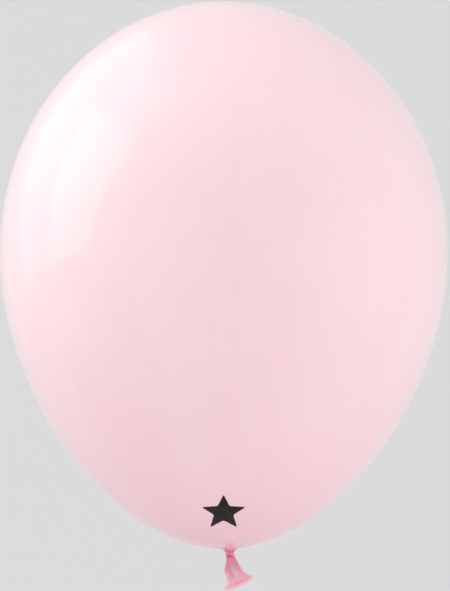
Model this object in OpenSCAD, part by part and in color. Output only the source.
// Latex balloon, inflated and tied off with an overhand knot, tail hanging down.
// Millimetres, +Z up. The origin is the middle of the groove between the film and the knot,
// on the neck's own axis, where a ribbon or a balloon stick holds it.

/* [Balloon] */
// widest diameter of the inflated film
balloon_d = 300; // [230:5:380]
// height of the inflated film, from the neck to the top
balloon_h = 368; // [300:4:460]
// how much fuller the upper half is than the lower half
fullness = 0.094; // [0:0.002:0.16]
// how much the two ends draw in
end_pull = 0.059; // [0:0.001:0.1]
// wall of the film at the widest place
film_t = 0.4; // [0.35:0.05:0.8]
// how much thicker the film is at its two ends, as a share of the wall
end_extra = 0.75; // [0:0.05:1.5]

/* [Neck] */
// diameter of the gathered neck in the tying groove
neck_d = 4.8; // [4:0.2:6.4]
// how far the neck sits to the side of the balloon's own axis
neck_side = 2.5; // [0:0.25:3.5]
// height of the tying groove
groove_h = 0.8; // [0.6:0.1:2]
// width of the gathers where the neck opens into the film
gather_d = 8.6; // [7.6:0.2:12]

/* [Knot] */
// width of the knot, side to side
knot_w = 7.2; // [6.4:0.2:9]
// thickness of the strap that wraps round the knot
strap_t = 2.3; // [1.8:0.1:2.6]
// width of that strap, up and down
strap_w = 2.9; // [2.2:0.1:3.2]
// how far the knot leans to the side
knot_tilt = 15; // [0:1:18]

/* [Tail] */
// length of the tail, from its bend to the mouth
tail_l = 16; // [12:0.5:24]
// how far the tail leans to the side
tail_lean = 18; // [0:1:24]
// diameter of the tail where it leaves the knot
tail_root_d = 5.4; // [4.6:0.2:6.4]
// width of the flattened mouth
mouth_w = 17.8; // [15:0.2:24]
// depth of the flattened mouth, front to back
mouth_d = 9.2; // [7.6:0.2:13]
// how much more the mouth slopes than the tail's own lean
mouth_tilt = 5; // [0:1:10]
// wall of the tail
tail_t = 0.5; // [0.4:0.05:0.8]
// thickness of the rolled bead round the mouth
bead_d = 1.9; // [1.4:0.1:2.6]

/* [Print] */
// width of the printed star, point to point
star_d = 30; // [20:2:48]
// height of the star's middle above the neck
star_z = 19; // [16:1:60]
// thickness of the ink
ink_t = 0.15; // [0.1:0.05:0.3]

/* [Hidden] */
$fn = 96;

move_gap = 0.3;              // between film zones that move on each other
ink_gap = 0.02;              // ink to film, so the two never share a face
steps = 60;                  // bands from the top of the film to the neck
half_h = balloon_h / 2;
film_low = groove_h / 2 + 0.6;          // lowest point of the film
film_mid = film_low + half_h;
neck_r = neck_d / 2;
hole_r = neck_r + move_gap;

// the film's outline: an egg whose radius and height both follow the angle a from the top
function egg(a) = sin(a) * (1 + fullness * cos(a) - end_pull * pow(cos(a), 2));
egg_max = max([for (a = [70 : 1 : 110]) egg(a)]);
function film_r(a) = balloon_d / 2 * egg(a) / egg_max;
function film_z(a) = film_mid + half_h * cos(a);
// unit vector straight out of the film at angle a, from the outline's own slope
function slope_r(a) = balloon_d / 2 / egg_max
    * (cos(a) * (1 + fullness * cos(a) - end_pull * pow(cos(a), 2))
       + sin(a) * (2 * end_pull * cos(a) * sin(a) - fullness * sin(a)));
function slope_z(a) = -half_h * sin(a);
function out_of(a) = let (l = norm([slope_r(a), slope_z(a)])) [-slope_z(a) / l, slope_r(a) / l];
// a point d outside the film (inside it when d is negative)
function film(a, d = 0) = a <= 0 ? [0, film_z(0) + d]
                        : a >= 180 ? [0, film_z(180) - d]
                        : [film_r(a), film_z(a)] + d * out_of(a);
function wall(a) = film_t * (1 + end_extra * pow(abs(cos(a)), 12));

// the knot and the tail, in the same upright plane
bend = [0, 0, -groove_h / 2 - 2];                       // where the knot rocks on the neck
ring_r = (knot_w - strap_t) / 2;
// middle of the knot: the high side of its turn hangs just clear of the neck
knot_c = [neck_r + 0.4 - (ring_r - strap_t / 2) * cos(knot_tilt), 0, bend.z - 0.2];
root_r = tail_root_d / 2;
root = knot_c + [0.95, 0, -strap_w / 2 - root_r + 0.05]; // where the tail bends

// the tail's mouth is an oval; its bead sits on the edge of the film
around = 60;
oval_a = mouth_w / 2;
oval_b = mouth_d / 2;
wall_end = tail_l - bead_d * 0.35;
cup_top = 3;                 // the hollow of the tail starts this far below the bend
function unit(v) = v / norm(v);

// inflated film: a thin egg, open where the neck leaves it
module envelope() color([0.96, 0.82, 0.86])
    translate([-neck_side, 0, 0]) difference() {
        rotate_extrude() polygon(concat(
            [for (i = [0 : steps]) film(180 * i / steps)],
            [for (i = [steps : -1 : 0]) film(180 * i / steps, -wall(180 * i / steps))]));
        translate([neck_side, 0, film_low - 2]) cylinder(r = hole_r, h = 6);
    }

// gathered neck: a plug in the film's opening, a collar of gathers under it and the groove
module throat() color([0.92, 0.6, 0.68]) difference() {
    rotate_extrude() union() {
        translate([0, -groove_h / 2 - 0.5]) square([neck_r, film_low + groove_h / 2 + 1.6]);
        translate([0, film_low + 1.1]) intersection() {
            scale([neck_r, 1]) circle(r = 1);
            square([neck_r, 2]);
        }
        difference() {
            translate([0, groove_h / 2 - 0.25]) square([gather_d / 2, 0.5]);
            translate([gather_d / 2, groove_h / 2 - 0.35])
                scale([gather_d / 2 - neck_r, 0.4]) circle(r = 1);
        }
    }
    translate(bend) sphere(r = neck_r - 0.35 + move_gap);
}

// the turn of the neck that wraps round the knot
module knot_wrap() color([0.93, 0.5, 0.6]) difference() {
    translate(knot_c) rotate([0, -knot_tilt, 0]) rotate_extrude()
        translate([ring_r, 0]) scale([strap_t / 2, strap_w / 2]) circle(r = 1);
    knot_core();
    tail_clearance();
}

// the neck where it passes through its own turn
module knot_core() color([0.9, 0.46, 0.57]) difference() {
    union() {
        translate(bend) sphere(r = neck_r - 0.35);
        translate(knot_c) rotate([0, -knot_tilt, 0]) scale([1, 1, 0.8]) sphere(r = ring_r - 0.1);
    }
    difference() {
        translate([0, 0, bend.z + 1]) cylinder(r = neck_r + move_gap, h = 4);
        translate(bend) sphere(r = neck_r - 0.35);
    }
    tail_clearance();
}

module tail_clearance() translate(root) sphere(r = root_r + move_gap);

// the tail's film at t below its bend and angle p round it, d outside its middle;
// soft folds run down from the bend and fade out towards the mouth
function mix(a, b, f) = a + (b - a) * f;
function fold(t, p) = 1 + 0.07 * (1 - t / tail_l) * cos(5 * p + 20);
function tail_at(t, p, d) = let (f = t / tail_l, k = fold(t, p),
        x = (mix(root_r - 0.45, oval_a, f) * k + d) * cos(p))
    [x, (mix(root_r * 0.7, oval_b, f) * k + d) * sin(p), -t + f * x * tan(mouth_tilt)];
function tail_ring(t, d, shrink = 1, up = 0) = [for (i = [0 : around - 1])
    let (q = tail_at(t, 360 * i / around, d)) [q.x * shrink, q.y * shrink, q.z + up]];

// a solid between rings of equal length, closed to a point at each end
module skin(first, rings, last) {
    n = len(rings[0]);
    m = len(rings);
    polyhedron(
        points = concat([first], [for (r = rings) each r], [last]),
        faces = concat(
            [for (i = [0 : n - 1]) [0, 1 + i, 1 + (i + 1) % n]],
            [for (j = [0 : m - 2], i = [0 : n - 1], h = [0, 1]) let (k = (i + 1) % n)
                h == 0 ? [1 + j * n + i, 1 + (j + 1) * n + i, 1 + j * n + k]
                       : [1 + j * n + k, 1 + (j + 1) * n + i, 1 + (j + 1) * n + k]],
            [for (i = [0 : n - 1]) [1 + m * n, 1 + (m - 1) * n + (i + 1) % n, 1 + (m - 1) * n + i]]),
        convexity = 4);
}

// open tail below the knot: a flattened funnel of film, closed where it enters the knot
module tail() color([0.92, 0.63, 0.71]) translate(root) rotate([0, -tail_lean, 0])
    skin([0, 0, root_r],
        concat(
            [for (a = [75 : -15 : 15]) tail_ring(0, tail_t / 2, cos(a), root_r * sin(a))],
            [for (i = [0 : 8]) tail_ring(wall_end * i / 8, tail_t / 2)],
            [for (i = [8 : -1 : 1]) tail_ring(mix(cup_top, wall_end, i / 8), -tail_t / 2)],
            [tail_ring(cup_top, -tail_t / 2, 0.85, 0.5)]),
        [0, 0, 1 - cup_top]);

// rolled bead round the mouth
module lip_bead() color([0.94, 0.7, 0.76]) translate(root) rotate([0, -tail_lean, 0]) {
    n = 16;
    rings = [for (i = [0 : around - 1]) let (p = 360 * i / around, c = tail_at(tail_l, p, 0),
            w = unit([cos(p) / oval_a, sin(p) / oval_b, 0]))
        [for (j = [0 : n - 1]) c + bead_d / 2 * (cos(360 * j / n) * w + [0, 0, sin(360 * j / n)])]];
    polyhedron(
        points = [for (r = rings) each r],
        faces = [for (i = [0 : around - 1], j = [0 : n - 1], h = [0, 1])
            let (a = i * n, b = ((i + 1) % around) * n, k = (j + 1) % n)
            h == 0 ? [a + j, a + k, b + j] : [a + k, b + k, b + j]],
        convexity = 6);
}

// printed star, a thin layer of ink on the lower front of the film
star_a = acos((star_z - film_mid) / half_h);
star_n = out_of(star_a);
star_i = round(star_a * steps / 180);    // the ink follows the film's own bands
module star() polygon([for (i = [0 : 9])
    let (r = i % 2 == 0 ? star_d / 2 : star_d / 4.6) [r * sin(36 * i), r * cos(36 * i)]]);
module print_star() color([0.16, 0.16, 0.17]) translate([-neck_side, 0, 0]) intersection() {
    rotate([0, 0, 240]) rotate_extrude(angle = 60) polygon(concat(
        [for (i = [star_i - 6 : star_i + 6]) film(180 * i / steps, ink_gap + ink_t)],
        [for (i = [star_i + 6 : -1 : star_i - 6]) film(180 * i / steps, ink_gap)]));
    translate([0, -film_r(star_a), star_z]) rotate([90 - atan2(star_n.y, star_n.x), 0, 0])
        linear_extrude(height = 40, center = true) star();
}

envelope();
throat();
knot_wrap();
knot_core();
tail();
lip_bead();
print_star();
